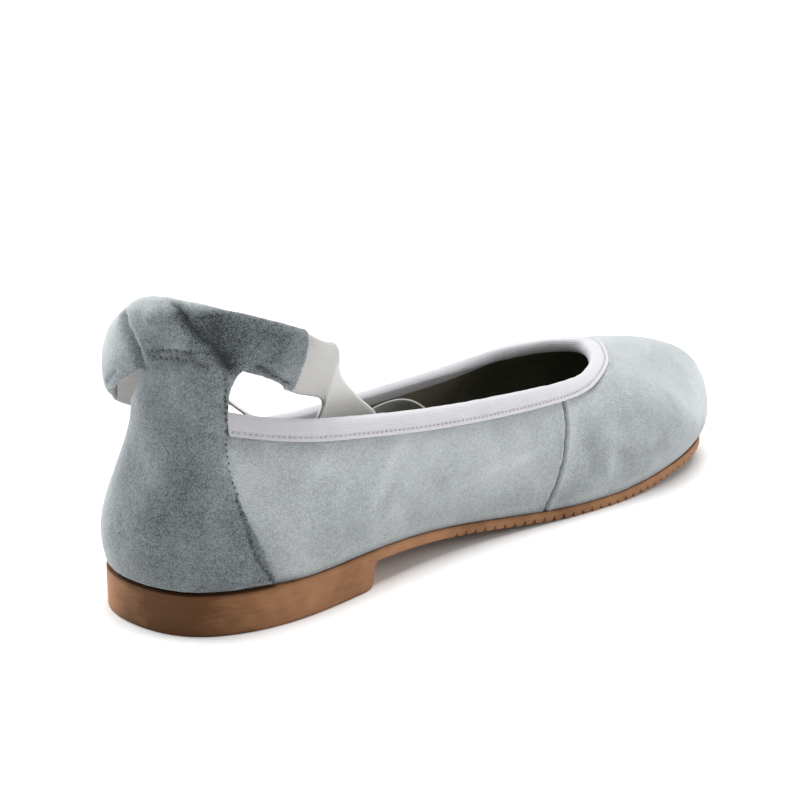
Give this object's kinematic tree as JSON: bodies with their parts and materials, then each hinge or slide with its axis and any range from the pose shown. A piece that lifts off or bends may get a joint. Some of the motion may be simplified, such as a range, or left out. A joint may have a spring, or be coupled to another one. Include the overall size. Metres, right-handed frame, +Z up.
{
  "type": "ballet flat shoe",
  "caption": "Low left slip-on shoe with a rounded toe, low heel, ankle sleeve and two elastic straps that hang slack inside it.",
  "frame": {"origin": "centre of the bounding box, on the floor that the heel and the forefoot rest on", "axes": "+Y from the heel to the toe, +X to the wearer's medial side, +Z up"},
  "size_m": [0.08, 0.2478, 0.0892],
  "materials": {
    "outsole": "brown, semi-matt",
    "heel": "brown, semi-matt",
    "insole": "dark, matt",
    "upper": "pale grey suede",
    "heel_tab": "grey suede",
    "collar_binding": "ribbed grey tape",
    "ankle_sleeve": "grey suede",
    "strap_medial": "ribbed elastic",
    "strap_lateral": "ribbed elastic"
  },
  "bodies": {
    "root": {"outsole": "outsole", "heel": "heel", "insole": "insole", "upper": "upper", "heel_tab": "heel_tab", "collar_binding": "collar_binding", "ankle_sleeve": "ankle_sleeve", "strap_medial": "strap_medial", "strap_lateral": "strap_lateral"}
  },
  "joints": []
}
